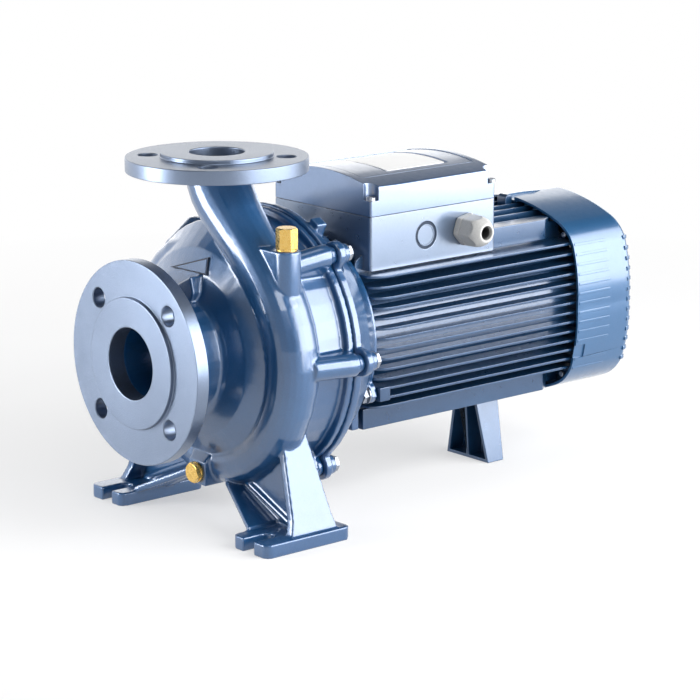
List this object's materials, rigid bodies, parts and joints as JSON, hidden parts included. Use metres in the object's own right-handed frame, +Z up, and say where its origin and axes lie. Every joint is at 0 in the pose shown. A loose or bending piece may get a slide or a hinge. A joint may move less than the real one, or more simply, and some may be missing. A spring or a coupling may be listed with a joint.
{
  "type": "close-coupled centrifugal pump",
  "caption": "Close-coupled centrifugal pump: a spiral casing with a front suction flange, a top discharge flange and feet, bolted to a finned electric motor with a terminal box.",
  "frame": {"origin": "on the floor, midway along the pump, under the shaft", "axes": "+X along the shaft from the suction flange to the fan cover, +Z up, -Y the side with the cable gland"},
  "size_m": [0.54, 0.2846, 0.34],
  "materials": {
    "blue_enamel": "glossy deep blue enamel over cast iron",
    "motor_enamel": "semi-gloss deep blue enamel over cast aluminium",
    "lid_paint": "matte grey-blue paint",
    "cover_paint": "satin blue paint on pressed sheet",
    "brass": "bright, unpainted",
    "zinc": "zinc-plated",
    "steel": "turned",
    "cast_iron": "as cast, turned on the outside",
    "grey_plastic": "light grey moulding",
    "rubber": "black seal",
    "dark_plastic": "black moulding"
  },
  "bodies": {
    "root": {"volute_casing": "blue_enamel", "priming_plug": "brass", "drain_plug": "brass", "impeller": "cast_iron", "impeller_nut": "steel", "shaft": "steel", "motor_bracket": "blue_enamel", "casing_bolt_1": "zinc", "casing_bolt_2": "zinc", "casing_bolt_3": "zinc", "casing_bolt_4": "zinc", "casing_bolt_5": "zinc", "casing_bolt_6": "zinc", "motor_bolt_near": "zinc", "motor_bolt_far": "zinc", "motor_housing": "motor_enamel", "support_foot": "motor_enamel", "terminal_box_base": "motor_enamel", "knockout_disc": "motor_enamel", "terminal_box_lid": "lid_paint", "lid_screw_1": "zinc", "lid_screw_2": "zinc", "lid_screw_3": "zinc", "lid_screw_4": "zinc", "gland_body": "grey_plastic", "gland_cap": "grey_plastic", "gland_seal": "rubber", "cover_lug": "motor_enamel", "fan_cover": "cover_paint", "cooling_fan": "dark_plastic"}
  },
  "joints": []
}
